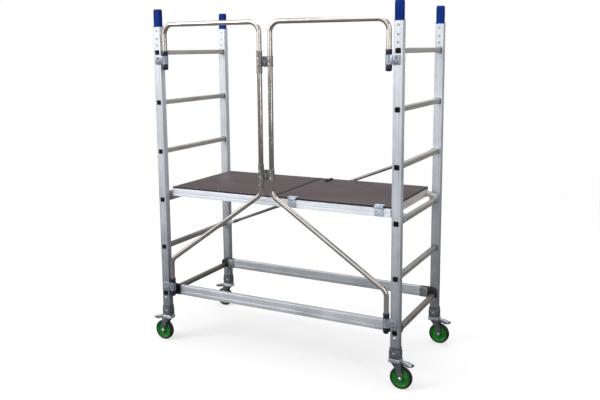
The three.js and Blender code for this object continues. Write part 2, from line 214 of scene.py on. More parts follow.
def moulded(name, low, mid, high, rough=(0.38, 0.55), grain=900.0, depth=0.00006, scuff=None, coat=0.0, spec=0.5):
    """Moulded plastic: fine spark-eroded grain, slow colour drift and pale scuffs."""
    n = Nodes(name)
    grain_f = n.noise(n.coords(), grain, 2.0, 0.5)
    broad = n.noise(n.coords(), 14.0, 6.0, 0.62)
    tone = n.math("ADD", n.math("MULTIPLY", grain_f, 0.25), n.math("MULTIPLY", broad, 0.75))
    col = n.ramp(tone, [(0.32, low), (0.5, mid), (0.7, high)])
    if scuff:
        mask = n.ramp(n.noise(n.coords((1, 1, 0.25)), 95.0, 7.0, 0.72), [(0.6, (0, 0, 0)), (0.74, (1, 1, 1))])
        col = n.mixc(n.math("MULTIPLY", mask, 0.4), col, scuff)
    r = n.mapr(broad, 0.3, 0.7, rough[0], rough[1])
    return n.finish(col, r, n.bump(grain_f, depth, 0.8), Coat_Weight=coat, Specular_IOR_Level=spec)


def film_ply():
    """Film-faced anti-slip plywood: a regular wire-mesh emboss in a satin phenolic film, with dusty wear paths."""
    n = Nodes("deck_film")
    v = n.add("ShaderNodeTexVoronoi", feature="F1")
    v.inputs["Scale"].default_value = 210.0
    v.inputs["Randomness"].default_value = 0.0
    n.link(n.coords(), v.inputs["Vector"])
    mesh = v.outputs["Distance"]
    broad = n.noise(n.coords((0.5, 1.0, 1.0)), 3.2, 7.0, 0.62)
    dust = n.noise(n.coords((0.4, 1.3, 1.0)), 21.0, 8.0, 0.7)
    tone = n.math("ADD", n.math("MULTIPLY", broad, 0.62), n.math("MULTIPLY", dust, 0.38))
    col = n.ramp(tone, [(0.34, s(43, 34, 35)), (0.5, s(63, 50, 52)), (0.66, s(84, 69, 70))])
    col = n.mixc(n.mapr(mesh, 0.25, 0.75, 0.0, 0.35), col, s(50, 42, 41))
    scr = n.ramp(n.noise(n.coords((0.07, 1.6, 1.0), (0, 0, 0.35)), 120.0, 3.0, 0.6), [(0.66, (0, 0, 0)), (0.74, (1, 1, 1))])
    col = n.mixc(n.math("MULTIPLY", scr, 0.25), col, s(150, 142, 138))
    r = n.math("ADD", n.mapr(broad, 0.3, 0.7, 0.42, 0.56), n.mapr(dust, 0.4, 0.8, -0.02, 0.12))
    return n.finish(col, r, n.bump(mesh, 0.0003, 0.55), Specular_IOR_Level=0.45)


# Dark ply edge colour, also used as painted shade on the board edges and along the seam.
def ply_edge_and_shade():
    n = Nodes("deck_edge_and_painted_shade")
    w = n.add("ShaderNodeTexWave", wave_type="BANDS", bands_direction="Z")
    w.inputs["Scale"].default_value = 105.0
    w.inputs["Distortion"].default_value = 2.0
    n.link(n.coords((0.03, 0.03, 1.0)), w.inputs["Vector"])
    grain = n.noise(n.coords((0.2, 0.2, 1.0)), 300.0, 5.0, 0.7)
    col = n.ramp(n.math("ADD", n.math("MULTIPLY", w.outputs["Fac"], 0.4), n.math("MULTIPLY", grain, 0.6)),
                 [(0.25, s(9, 8, 9)), (0.55, s(17, 14, 15)), (0.85, s(30, 25, 24))])
    return n.finish(col, n.mapr(grain, 0.3, 0.7, 0.5, 0.75), n.bump(grain, 0.0002, 0.6))


def rubber():
    n = Nodes("tyre_rubber")
    fine = n.noise(n.coords(), 700.0, 3.0, 0.6)
    broad = n.noise(n.coords(), 40.0, 7.0, 0.65)
    col = n.ramp(broad, [(0.35, s(13, 17, 14)), (0.55, s(22, 27, 23)), (0.72, s(48, 52, 48))])
    return n.finish(col, n.mapr(broad, 0.3, 0.7, 0.55, 0.85), n.bump(fine, 0.0002, 0.7), Specular_IOR_Level=0.4)


Z_LINES, X_LINES, Y_LINES = (1, 1, 0.012), (0.012, 1, 1), (1, 0.012, 1)
# The uprights and rungs are coloured darker towards the ground as painted shade.
M_POST = drawn_metal("upright_alu", s(195, 200, 205), s(212, 217, 222), s(225, 229, 233), Z_LINES, metallic=0.5, rough=(0.32, 0.46), grime=s(150, 152, 156), painted_low_shade=s(118, 124, 129))
M_RUNG = drawn_metal("rung_alu", s(188, 184, 177), s(208, 204, 197), s(222, 219, 213), Y_LINES, metallic=0.66, rough=(0.24, 0.38), grime=s(132, 126, 118), painted_low_shade=s(112, 103, 95))
M_RAIL = drawn_metal("rail_alu", s(222, 228, 234), s(234, 239, 244), s(244, 247, 250), X_LINES, metallic=0.3, rough=(0.3, 0.44), grime=s(178, 182, 188))
M_BRACE = drawn_metal("brace_alu", s(194, 199, 204), s(212, 216, 221), s(226, 230, 234), X_LINES, metallic=0.66, rough=(0.3, 0.44), grime=s(160, 163, 170))
M_BEAM = drawn_metal("beam_alu", s(208, 207, 203), s(222, 221, 217), s(234, 233, 229), Y_LINES, metallic=0.35, rough=(0.32, 0.48), grime=s(156, 155, 152))
M_TUBE = drawn_metal("gate_steel", s(176, 170, 162), s(200, 194, 186), s(220, 215, 207), (1, 1, 1), lines=260.0, rough=(0.07, 0.15), metallic=0.97, blotch=9.0, depth=0.00003, grime=s(150, 143, 133))
M_ZINC = plated("bright_zinc", s(160, 167, 174), s(192, 199, 206), s(220, 225, 230), metallic=0.75)
M_DULL_ZINC_AND_SHADE = plated("dull_zinc_and_painted_shade", s(74, 78, 80), s(98, 102, 104), s(128, 132, 134), rough=(0.36, 0.56), metallic=0.7)
M_ZINC_BLUE = plated("bracket_zinc", s(126, 131, 142), s(156, 162, 174), s(184, 190, 201), rough=(0.3, 0.5), metallic=0.75)
M_HINGE = plated("hinge_steel", s(118, 116, 112), s(148, 145, 140), s(176, 173, 168), rough=(0.26, 0.42), metallic=0.85)
M_CLAW = moulded("claw_plastic", s(16, 16, 19), s(27, 27, 31), s(44, 44, 49), scuff=s(84, 84, 88), rough=(0.36, 0.54), spec=0.35)
M_SLEEVE = plated("claw_sleeve", s(112, 115, 119), s(140, 143, 147), s(168, 171, 175), rough=(0.36, 0.5), metallic=0.6)
M_HOOK = plated("hook_zinc", s(168, 169, 168), s(198, 199, 197), s(222, 223, 221), rough=(0.34, 0.5), metallic=0.5)
M_STRAP = plated("strap_zinc", s(160, 174, 186), s(188, 201, 212), s(214, 224, 232), rough=(0.34, 0.5), metallic=0.45)
M_DIAG = drawn_metal("diagonal_steel", s(92, 93, 97), s(114, 115, 118), s(136, 136, 138), (1, 1, 1), lines=260.0, rough=(0.34, 0.46), metallic=0.85, blotch=9.0, depth=0.00003, grime=s(96, 92, 86))
M_BOLT = plated("bolt_zinc", s(186, 190, 192), s(212, 215, 217), s(232, 234, 235), rough=(0.2, 0.34), metallic=0.9)
M_BLUE = moulded("spigot_blue", s(0, 28, 92), s(1, 42, 120), s(6, 56, 142), scuff=s(32, 68, 150), rough=(0.46, 0.62), spec=0.09)
M_BLACK_AND_SHADE = moulded("black_plastic", s(4, 4, 5), s(8, 8, 10), s(15, 15, 18), scuff=s(34, 34, 38), rough=(0.46, 0.66), spec=0.14)
M_LATCH = moulded("latch_plastic", s(26, 16, 16), s(38, 25, 24), s(54, 38, 36), scuff=s(78, 60, 56), rough=(0.44, 0.6), spec=0.2)
M_NAVY = moulded("bush_plastic", s(6, 5, 26), s(13, 11, 42), s(27, 25, 64), scuff=s(74, 72, 116), rough=(0.26, 0.42), spec=0.45)
M_GREEN = moulded("hub_green", s(2, 76, 12), s(8, 106, 20), s(30, 134, 38), scuff=s(82, 148, 86), rough=(0.28, 0.46), coat=0.15, spec=0.4)
M_FILM, M_PLY_EDGE_AND_SHADE, M_RUBBER = film_ply(), ply_edge_and_shade(), rubber()


# ---------------------------------------------------------------- mesh helpers, in millimetres
def rounded(w, h, r, n=4, cx=0.0, cy=0.0):
    out = []
    for x, y, a in ((w / 2 - r, h / 2 - r, 0), (-w / 2 + r, h / 2 - r, 90), (-w / 2 + r, -h / 2 + r, 180), (w / 2 - r, -h / 2 + r, 270)):
        for i in range(n + 1):
            t = math.radians(a + 90 * i / n)
            out.append((cx + x + r * math.cos(t), cy + y + r * math.sin(t)))
    return out


def ring_pts(r, n, cx=0.0, cy=0.0, phase=0.0):
    return [(cx + r * math.cos(phase + 2 * math.pi * i / n), cy + r * math.sin(phase + 2 * math.pi * i / n)) for i in range(n)]


def area2(poly):
    return sum(poly[i][0] * poly[(i + 1) % len(poly)][1] - poly[(i + 1) % len(poly)][0] * poly[i][1] for i in range(len(poly)))


def place(axis, a, b, c):
    """Plane coordinates a, b and height c along the axis, as x, y, z. For x the plane is (y, z), for y it is (x, z)."""
    return {"z": (a, b, c), "x": (c, a, b), "y": (a, c, b)}[axis]


def stack(loops, axis="z", closed=False):
    """Loops of equal length, [(points, height), ...], skinned into one solid with n-gon ends, or into a ring when closed."""
    n = len(loops[0][0])
    v = [place(axis, a, b, c) for pts, c in loops for a, b in pts]
    f = []
    k = len(loops)
    for i in range(k if closed else k - 1):
        j = (i + 1) % k
        for e in range(n):
            g = (e + 1) % n
            f.append((i * n + e, i * n + g, j * n + g, j * n + e))
    if not closed:
        f.append(tuple(range(n - 1, -1, -1)))
        f.append(tuple((k - 1) * n + e for e in range(n)))
    return v, f


def prism(poly, a0, a1, axis="z"):
    return stack([(poly, a0), (poly, a1)], axis)


def hollow(outer, inner, a0, a1, axis="z", ch=0.6):
    """A tube between two loops of equal length, with slightly broken outer edges at its ends."""
    shrink = lambda pts, q: [(p[0] + (c[0] - p[0]) * q, p[1] + (c[1] - p[1]) * q) for p, c in zip(pts, inner)]
    return stack([(outer, a0 + ch), (outer, a1 - ch), (shrink(outer, 0.35), a1), (inner, a1), (inner, a0), (shrink(outer, 0.35), a0)], axis, closed=True)


def lathe(profile, n=32, axis="z", c=(0.0, 0.0)):
    """Turn (radius, height) points round the axis. A closed section when neither end is on the axis."""
    v, f, rows = [], [], []
    for r, h in profile:
        if r < 1e-6:
            rows.append([len(v)])
            v.append(place(axis, c[0], c[1], h))
        else:
            rows.append(list(range(len(v), len(v) + n)))
            v += [place(axis, a, b, h) for a, b in ring_pts(r, n, *c)]
    pairs = list(zip(rows, rows[1:]))
    if profile[0][0] > 1e-6:
        pairs.append((rows[-1], rows[0]))
    for p, q in pairs:
        for e in range(n):
            g = (e + 1) % n
            if len(p) == 1 and len(q) == 1:
                continue
            if len(p) == 1:
                f.append((p[0], q[g], q[e]))
            elif len(q) == 1:
                f.append((p[e], p[g], q[0]))
            else:
                f.append((p[e], p[g], q[g], q[e]))
    return v, f


def block(x0, x1, y0, y1, z0, z1):
    return prism([(x0, y0), (x1, y0), (x1, y1), (x0, y1)], z0, z1, "z")


def bev(geo, w=1.0, segs=2, ang=35.0):
    """Round every edge sharper than ang."""
    bm = bmesh.new()
    vs = [bm.verts.new(p) for p in geo[0]]
    for f in geo[1]:
        bm.faces.new([vs[i] for i in f])
    bmesh.ops.recalc_face_normals(bm, faces=bm.faces)
    edges = [e for e in bm.edges if len(e.link_faces) == 2 and e.calc_face_angle(0) > math.radians(ang)]
    bmesh.ops.bevel(bm, geom=edges, offset=w, offset_type="OFFSET", segments=segs, profile=0.5, affect="EDGES", clamp_overlap=True)
    bmesh.ops.remove_doubles(bm, verts=bm.verts, dist=0.001)
    bm.verts.index_update()
    out = [tuple(v.co) for v in bm.verts], [tuple(v.index for v in f.verts) for f in bm.faces]
    bm.free()
    return out


def sweep(path, section, closed_ends=True):
    """Carry a section of (side, up) points along a path of (point, direction) stations. 'up' is the direction kept square to the path."""
    v, f = [], []
    n = len(section)
    up = None
    for p, d in path:
        d = d.normalized()
        if up is None:
            up = Vector((0, 1, 0)) if abs(d.y) < 0.9 else Vector((1, 0, 0))
        side = d.cross(up).normalized()
        up = side.cross(d).normalized()
        v += [tuple(p + side * a + up * b) for a, b in section]
    for i in range(len(path) - 1):
        for e in range(n):
            g = (e + 1) % n
            f.append((i * n + e, i * n + g, (i + 1) * n + g, (i + 1) * n + e))
    if closed_ends:
        f.append(tuple(range(n - 1, -1, -1)))
        f.append(tuple((len(path) - 1) * n + e for e in range(n)))
    return v, f


def fillet(corners, radius, n=12):
    """A path of straight runs with rounded corners, as (point, direction) stations."""
    c = [Vector(p) for p in corners]
    out = [(c[0], (c[1] - c[0]).normalized())]
    for i in range(1, len(c) - 1):
        a, b = (c[i] - c[i - 1]).normalized(), (c[i + 1] - c[i]).normalized()
        turn = a.angle(b)
        start = c[i] - a * radius * math.tan(turn / 2)
        inward = (b - a * a.dot(b)).normalized()
        centre = start + inward * radius
        for k in range(n + 1):
            t = turn * k / n
            out.append((centre - inward * radius * math.cos(t) + a * radius * math.sin(t), (a * math.cos(t) + inward * math.sin(t)).normalized()))
    out.append((c[-1], (c[-1] - c[-2]).normalized()))
    return out


def dome(r, h, z0, n=20, axis="z", c=(0.0, 0.0), flip=1, foot=1.0):
    """A domed bolt or rivet head standing on height z0 and rising towards flip."""
    prof = [(0, z0 - flip * 0.6), (r, z0 - flip * 0.6), (r, z0 + flip * foot * 0.4)]
    for i in range(1, 6):
        t = math.radians(90 * i / 6)
        prof.append((r * math.cos(t), z0 + flip * (foot * 0.4 + (h - foot * 0.4) * math.sin(t))))
    prof.append((0, z0 + flip * h))
    return lathe(prof, n, axis, c)


def hexhead(af, h, z0, axis="z", c=(0.0, 0.0), flip=1, phase=0.0):
    r = af / math.sqrt(3)
    loops = [(ring_pts(r, 6, *c, phase), z0 - flip * 0.5), (ring_pts(r, 6, *c, phase), z0 + flip * (h - 0.8)), (ring_pts(r * 0.88, 6, *c, phase), z0 + flip * h)]
    return stack(loops, axis)


class Piece:
    """One visible piece: solids in millimetres with a material each, joined into one mesh in the row frame."""

    def __init__(self, name):
        self.name, self.v, self.f, self.mi, self.mats, self.m = name, [], [], [], [], Matrix.Identity(4)

    def add(self, geo, mat, matrix=None):
        m = self.m if matrix is None else self.m @ matrix
        if mat not in self.mats:
            self.mats.append(mat)
        k = self.mats.index(mat)
        base = len(self.v)
        for p in geo[0]:
            q = m @ Vector(p)
            self.v.append((q.x / 1000, (q.y + SY) / 1000, q.z / 1000))
        for f in geo[1]:
            self.f.append(tuple(base + i for i in f))
            self.mi.append(k)
        return self

    def done(self, body, nodes=(), smooth=35.0, pick=None):
        me = bpy.data.meshes.new(self.name)
        me.from_pydata(self.v, [], self.f)
        for m in self.mats:
            me.materials.append(m)
        me.polygons.foreach_set("material_index", self.mi)
        bm = bmesh.new()
        bm.from_mesh(me)
        bmesh.ops.recalc_face_normals(bm, faces=bm.faces)
        if pick:
            for f in bm.faces:
                f.material_index = pick(f.normal, f.calc_center_median(), f.material_index)
        bm.to_mesh(me)
        bm.free()
        me.shade_smooth()
        me.set_sharp_from_angle(angle=math.radians(smooth))
        o = bpy.data.objects.new(self.name, me)
        bpy.context.collection.objects.link(o)
        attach(o, body)
        if nodes:
            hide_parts(*nodes)
        return o


# ---------------------------------------------------------------- end frames
def post_section(w=52.0, d=40.0, r=3.2, inner=None):
    """Extruded upright: a flat middle ridge between two shallow channels on the front and back, one fine groove pair on each side."""
    right = [(w / 2, -8.4), (w / 2 - 0.7, -7.6), (w / 2 - 0.7, -6.0), (w / 2, -5.2), (w / 2, 5.2), (w / 2 - 0.7, 6.0), (w / 2 - 0.7, 7.6), (w / 2, 8.4)]
    back = [(19.6, d / 2), (18.6, d / 2 - 1.3), (11.6, d / 2 - 1.3), (10.6, d / 2), (-10.6, d / 2), (-11.6, d / 2 - 1.3), (-18.6, d / 2 - 1.3), (-19.6, d / 2)]
    corner = lambda cx, cy, a: [(cx + r * math.cos(math.radians(a + 90 * i / 4)), cy + r * math.sin(math.radians(a + 90 * i / 4))) for i in range(5)]
    pts = right + corner(w / 2 - r, d / 2 - r, 0) + back
    pts += corner(-w / 2 + r, d / 2 - r, 90) + [(-x, -y) for x, y in right] + corner(-w / 2 + r, -d / 2 + r, 180)
    pts += [(-x, -y) for x, y in back] + corner(w / 2 - r, -d / 2 + r, 270)
    return pts


def rung_section():
    """Ribbed square rung: serrated tread on top, two grooves down each side."""
    h = 14.0
    side = [(h, -7.4), (h - 1.2, -6.6), (h - 1.2, -4.0), (h, -3.2), (h, 3.2), (h - 1.2, 4.0), (h - 1.2, 6.6), (h, 7.4)]
    corner = lambda cx, cy, a, r: [(cx + r * math.cos(math.radians(a + 90 * i / 4)), cy + r * math.sin(math.radians(a + 90 * i / 4))) for i in range(5)]
    top = []
    for x in (8.4, 4.2, 0.0, -4.2, -8.4):
        top += [(x + 1.7, h - 1.1), (x + 0.7, h), (x - 0.7, h), (x - 1.7, h - 1.1)]
    pts = side + corner(h - 4, h - 4 - 0.0, 0, 4.0)[:-1] + top + corner(-h + 4, h - 4, 90, 4.0)[1:] + [(-x, -z) for x, z in side]
    pts += corner(-h + 4, -h + 4, 180, 4.0) + corner(h - 4, -h + 4, 270, 4.0)
    return pts


for tag, sx, sy in CORNERS:
    cx, cy = sx * POST_X, sy * POST_Y
    outer = [(cx + a, cy + b) for a, b in post_section()]
    inner = [(cx + a * 0.905, cy + b * 0.875) for a, b in post_section()]
    p = Piece("upright_profile_" + tag)
    p.add(hollow(outer, inner, 222, 1966), M_POST)
    # The swaged collar round each rung where it enters the upright.
    for z in RUNG_Z:
        face = cy - sy * 20.0
        a, b = sorted((face + sy * 0.5, face - sy * 2.4))
        o2, i2 = rounded(35, 35, 7, 4, cx, z), rounded(27, 27, 4, 4, cx, z)
        p.add(hollow(o2, i2, a, b, "y", 0.7), M_DULL_ZINC_AND_SHADE)
    p.done("frame", ["upright_" + tag])

    # Drilled spring-clip holes near the top, in both flat faces: pressed eyelets.
    p = Piece("upright_eyelets_" + tag)
    for fy in (-1, 1):
        yf = cy + fy * 20.0
        for z in (1943, 1896, 1857):
            prof = [(3.0, yf - fy * 1.0), (6.4, yf - fy * 1.0), (6.4, yf + fy * 0.35), (5.4, yf + fy * 0.8), (3.7, yf + fy * 0.5), (3.0, yf - fy * 0.3)]
            p.add(lathe(prof, 20, "y", (cx, z)), M_DULL_ZINC_AND_SHADE)
            # A black disc inside each eyelet is painted shade for the dark hole.
            p.add(lathe([(0, yf - fy * 0.9), (3.2, yf - fy * 0.9), (3.2, yf - fy * 0.2), (0, yf - fy * 0.2)], 16, "y", (cx, z)), M_BLACK_AND_SHADE)
        p.add(dome(8.2, 1.6, yf, 24, "y", (cx, 282), fy), M_BOLT)
        p.add(hexhead(12.4, 5.2, yf + fy * 1.2, "y", (cx, 282), fy, math.radians(12)), M_BOLT)
    p.done("frame", [])

    # Square end plugs of the rungs.
    p = Piece("rung_plugs_" + tag)
    for z in RUNG_Z:
        yf = cy + sy * 20.0
        a = rounded(27.6, 27.6, 4.2, 4, cx, z)
        b = rounded(25.6, 25.6, 3.6, 4, cx, z)
        c = rounded(18.0, 18.0, 2.6, 4, cx, z)
        d = rounded(16.6, 16.6, 2.2, 4, cx, z)
        p.add(stack([(a, yf - sy * 1.0), (a, yf + sy * 1.3), (b, yf + sy * 2.0), (c, yf + sy * 2.0), (d, yf + sy * 1.2)], "y"), M_BLACK_AND_SHADE)
    p.done("frame", [])

    # Spigot that the next section slides over.
    w, d, r = 44.6, 32.6, 4.0
    def sp(k, w=w, d=d, r=r):
        w, d = w - 2 * k, d - 2 * k
        r = max(1.2, r - k * 0.4)
        g = [(13.8, d / 2), (12.8, d / 2 - 1.5), (6.4, d / 2 - 1.5), (5.4, d / 2), (-5.4, d / 2), (-6.4, d / 2 - 1.5), (-12.8, d / 2 - 1.5), (-13.8, d / 2)]
        q = w / 2
        corner = lambda x, y, a: [(x + r * math.cos(math.radians(a + 90 * i / 4)), y + r * math.sin(math.radians(a + 90 * i / 4))) for i in range(5)]
        pts = [(q, -4.4), (q - 1, -3.6), (q - 1, 3.6), (q, 4.4)] + corner(q - r, d / 2 - r, 0) + g + corner(-q + r, d / 2 - r, 90)
        pts += [(-q, 4.4), (-q + 1, 3.6), (-q + 1, -3.6), (-q, -4.4)] + corner(-q + r, -d / 2 + r, 180) + [(-x, -y) for x, y in g] + corner(q - r, -d / 2 + r, 270)
        return [(cx + x, cy + y) for x, y in pts]
    p = Piece("spigot_" + tag)
    p.add(stack([(sp(0), 1930), (sp(0), 2056), (sp(0.7), 2062), (sp(2.0), 2067), (sp(3.6), 2069.4), (sp(5.0), 2070), (sp(6.2), 2070), (sp(6.8), 2067)]), M_BLUE)
    flange = rounded(51.0, 39.0, 3.0, 4, cx, cy)
    flange_in = rounded(45.0, 33.0, 3.0, 4, cx, cy)
    p.add(hollow(flange, flange_in, 1966, 1969.4, "z", 0.8), M_BLUE)
    p.done("frame", ["top_spigot_" + tag])
    p = Piece("spigot_button_" + tag)
    for fy in (-1, 1):
        p.add(dome(4.2, 3.0, cy + fy * 16.1, 20, "y", (cx, 2043), fy), M_NAVY)
    p.done("frame", [])

for tag, sx in (("l", -1), ("r", 1)):
    for i, z in enumerate(RUNG_Z):
        p = Piece(f"ribbed_rung_{tag}{i + 1}")
        sec = [(sx * POST_X + a, z + b) for a, b in rung_section()]
        p.add(prism(sec, -339, 339, "y"), M_RUNG)
        p.done("frame", [f"rung_{tag}{i + 1}"], smooth=30)

# ---------------------------------------------------------------- castors
for tag, sx, sy in CORNERS:
    M = Matrix.Translation((sx * POST_X, sy * POST_Y, 0)) @ Matrix.Rotation(0 if sx > 0 else math.pi, 4, "Z")

    # Swivel housing and spindle, fixed in the upright.
    p = Piece("castor_housing_" + tag)
    p.m = M
    rr = lambda w, d, r: rounded(w, d, r, 5)
    p.add(stack([(rr(62, 43, 9), 180.4), (rr(65, 45.6, 10), 181.2), (rr(67, 47, 10.5), 190), (rr(67.5, 47.5, 11), 200), (rr(66, 46.5, 10), 212), (rr(62, 44, 9), 217.4), (rr(57, 41, 7), 218.6)]), M_DULL_ZINC_AND_SHADE)
    p.add(bev(prism(rounded(59, 44, 5, 4), 218.2, 222.4), 0.8), M_DULL_ZINC_AND_SHADE)
    # skirt of the cup, drawn up round the end of the upright
    inner = rr(52.8, 40.8, 2.6)
    p.add(stack([(rr(61, 44.6, 8), 217.8), (rr(60.4, 44.6, 7), 223), (rr(58.6, 44.4, 5), 229), (rr(56.4, 43.6, 4), 232), (inner, 232), (inner, 217.8)], "z", closed=True), M_DULL_ZINC_AND_SHADE)
    p.add(lathe([(0, 290), (15.4, 290), (15.4, 221), (0, 221)], 24), M_ZINC)
    p.add(lathe([(30.0, 178.9), (31.2, 179.2), (31.4, 180.2), (31, 181.6), (22, 181.6), (22, 178.9)], 40), M_DULL_ZINC_AND_SHADE)
    p.add(lathe([(0, 182), (7.8, 182), (7.8, 168), (0, 168)], 20), M_ZINC)
    p.add(hexhead(20, 6.6, 168, "z", (0, 0), -1), M_BOLT)
    for fy in (-1, 1):
        p.add(dome(7.2, 2.6, fy * 23.4, 22, "y", (-3, 197), fy), M_ZINC_BLUE)
        p.add(bev(prism(rounded(50, 4.6, 1.6, 3, 0, 214), fy * 21.5 - 1.4, fy * 21.5 + 1.4, "y"), 0.5), M_DULL_ZINC_AND_SHADE)
    p.done("frame", ["castor_stem_" + tag])

    # Pressed-steel fork: head plate with a raised ball race, two flanged arms.
    p = Piece("castor_fork_plate_" + tag)
    p.m = M
    arm = [(-27, 168), (33, 168), (35.5, 152), (38.5, 128), (43.5, 94), (46, 68), (43.5, 55.5), (38.5, 49.8), (33, 48), (27.5, 49.8), (22.5, 55.5), (19.5, 68), (14, 92), (2, 118), (-17, 142), (-25, 152)]
    for fy in (-1, 1):
        a, b = sorted((fy * 18.0, fy * 22.0))
        p.add(bev(prism(arm, a, b, "y"), 1.1), M_DULL_ZINC_AND_SHADE)
        # raised rib pressed into the arm
        rib = [(-12, 150), (18, 154), (26, 142), (31, 112), (34.5, 84), (30.0, 84), (24.5, 108), (14, 130), (-4, 144)]
        p.add(bev(prism(rib, fy * 22.0 - 0.8, fy * 22.0 + 0.8, "y"), 0.7), M_DULL_ZINC_AND_SHADE)
    # bored head block under the swivel race, bright lip below it
    def bored(z0, z1, w, d, r, mat, ch=1.0):
        o, i = rounded(w, d, r, 5), ring_pts(8.9, 24, 0, 0, math.pi / 24)
        o2 = rounded(w - 2 * ch, d - 2 * ch, r - ch * 0.5, 5)
        p.add(stack([(o, z0 + ch), (o, z1 - ch), (o2, z1), (i, z1), (i, z0), (o2, z0)], "z", closed=True), mat)
    bored(166.4, 178.8, 67, 47, 10.5, M_DULL_ZINC_AND_SHADE, 1.4)
    bored(157.4, 166.8, 69.0, 48.8, 11, M_ZINC, 2.2)
    skirt = [(-33.5, 159), (-33.5, 149.5), (-31, 146.6), (12, 146.6), (20, 149.4), (30, 153.6), (34, 157.4), (34, 159)]
    for fy in (-1, 1):
        a, b = sorted((fy * 22.4, fy * 24.2))
        p.add(bev(prism(skirt, a, b, "y"), 0.7), M_ZINC)
    p.add(bev(block(-34.2, -31.6, -23.4, 23.4, 146.8, 159), 0.9), M_ZINC)
    p.done("castor_" + tag, ["castor_fork_" + tag])

    # Wheel: moulded green centre and dark tyre.
    p = Piece("wheel_tyre_" + tag)
    p.m = M
    c = (33.0, 62.5)
    p.add(lathe([(50.2, -14.6), (52.6, -15.8), (55.6, -15.9), (58.8, -14.4), (61.2, -11.4), (62.3, -7.6), (62.5, -3), (62.5, 3), (62.3, 7.6), (61.2, 11.4), (58.8, 14.4), (55.6, 15.9), (52.6, 15.8), (50.2, 14.6)], 72, "y", c), M_RUBBER)
    p.done("wheel_" + tag, ["wheel_" + tag], smooth=40)
    p = Piece("wheel_centre_" + tag)
    p.m = M
    prof = [(5.7, -15), (14.5, -15), (16, -14.2), (17, -12.2), (18.4, -9.6), (21, -8.6), (40, -8.2), (42, -9.0), (43.2, -11.4), (44.6, -12.2), (47.4, -12.2), (48.6, -11.2), (49.2, -12.8), (50.6, -13.4)]
    p.add(lathe(prof + [(r, -h) for r, h in reversed(prof)], 72, "y", c), M_GREEN)
    for k in range(5):
        a = 2 * math.pi * k / 5 + 0.3
        R = Matrix.Translation((33, 0, 62.5)) @ Matrix.Rotation(a, 4, "Y")
        for fy in (-1, 1):
            p.add(bev(block(19, 42.5, fy * 8.9 - 1.3, fy * 8.9 + 1.3, -1.7, 1.7), 0.7), M_GREEN, R)
    p.done("wheel_" + tag, [], smooth=32)

    # Axle bolt with domed head and lock nut.
    p = Piece("axle_bolt_" + tag)
    p.m = M
    p.add(lathe([(0, -24), (4.9, -24), (4.9, 24), (0, 24)], 20, "y", c), M_BOLT)
    for fy in (-1, 1):
        p.add(lathe([(4.5, fy * 22.3), (9.6, fy * 22.3), (9.6, fy * 23.4), (9.2, fy * 23.8), (4.5, fy * 23.8)], 28, "y", c), M_BOLT)
        p.add(lathe([(4.6, fy * 15.4), (8.6, fy * 15.4), (8.6, fy * 17.7), (4.6, fy * 17.7)], 24, "y", c), M_ZINC)
    outer_side = -1 if sy * (1 if sx > 0 else -1) < 0 else 1
    p.add(dome(8.2, 4.6, outer_side * 23.6, 26, "y", c, outer_side), M_BOLT)
    p.add(hexhead(13, 4.2, -outer_side * 23.6, "y", c, -outer_side, 0.2), M_BOLT)
    p.done("castor_" + tag, ["wheel_axle_" + tag])

    # Brake pedal: one curved pressing with turned-down sides, a brake block under it and a dark toe.
    p = Piece("pedal_sheet_" + tag)
    p.m = M
    ctl = [(21.5, 147.5), (24.5, 152.6), (31, 155.4), (40, 156.2), (50, 155.6), (60, 153.9), (69, 151.4), (78, 148.2), (86, 144.8), (94, 141.4), (102.6, 138.9)]
    half = [9.5, 11, 12, 12, 12.5, 14.5, 17.5, 19.2, 19.8, 18.6, 14.0]
    drop = [2.2, 6, 11, 15, 17.5, 18.5, 18, 15.5, 11.5, 6.5, 2.3]
    def pedal_loop(i):
        (x, z), h, q = ctl[i], half[i], drop[i]
        a = ctl[max(i - 1, 0)]
        b = ctl[min(i + 1, len(ctl) - 1)]
        t = Vector((b[0] - a[0], b[1] - a[1])).normalized()
        nx, nz = -t.y, t.x
        sec = [(-h, -q), (-h, -1.4), (-h + 0.5, -0.5), (-h + 1.6, 0), (-h * 0.5, 0.25), (0, 0.35), (h * 0.5, 0.25), (h - 1.6, 0), (h - 0.5, -0.5), (h, -1.4), (h, -q),
               (h - 1.6, -q), (h - 1.6, -1.9), (h * 0.5, -1.5), (0, -1.45), (-h * 0.5, -1.5), (-h + 1.6, -1.9), (-h + 1.6, -q)]
        return [(x + nx * v, u, z + nz * v) for u, v in sec]
    loops = [pedal_loop(i) for i in range(len(ctl))]
    v = [q for l in loops for q in l]
    n = len(loops[0])
    f = [(i * n + e, i * n + (e + 1) % n, (i + 1) * n + (e + 1) % n, (i + 1) * n + e) for i in range(len(loops) - 1) for e in range(n)]
    f += [tuple(range(n - 1, -1, -1)), tuple((len(loops) - 1) * n + e for e in range(n))]
    p.add((v, f), M_ZINC)
    p.add(lathe([(0, -17.2), (4.6, -17.2), (5.6, -16.4), (5.6, 16.4), (4.6, 17.2), (0, 17.2)], 22, "y", (30, 148)), M_ZINC)
    p.add(bev(block(33.4, 44, -9, 9, 131.4, 154), 1.6), M_DULL_ZINC_AND_SHADE)
    for i in range(4):
        xx = 60 + i * 6.5
        zz = 154.3 - i * 2.35
        R = Matrix.Translation((xx, 0, zz)) @ Matrix.Rotation(math.radians(19 + i * 0.8), 4, "Y")
        p.add(bev(block(-1.1, 1.1, -9.5 - i * 1.1, 9.5 + i * 1.1, -0.9, 0.7), 0.5), M_ZINC, R)
    # Faces that look sideways or down take the dull zinc: painted shade on the pedal's sides and underside.
    p.done("pedal_" + tag, ["brake_pedal_" + tag], smooth=40, pick=lambda nrm, c, k: 1 if abs(nrm.y) > 0.75 or nrm.z < -0.3 else k)
    p = Piece("pedal_toe_" + tag)
    p.m = M
    toe = [(92.6, 143.4), (95, 143.7), (101.4, 141.3), (103, 140.2), (103, 137.4), (101.2, 136.6), (96, 138.0), (92.8, 140.0)]
    p.add(bev(prism(toe, -15.2, 15.2, "y"), 1.1), M_CLAW)
    p.done("pedal_" + tag, [])

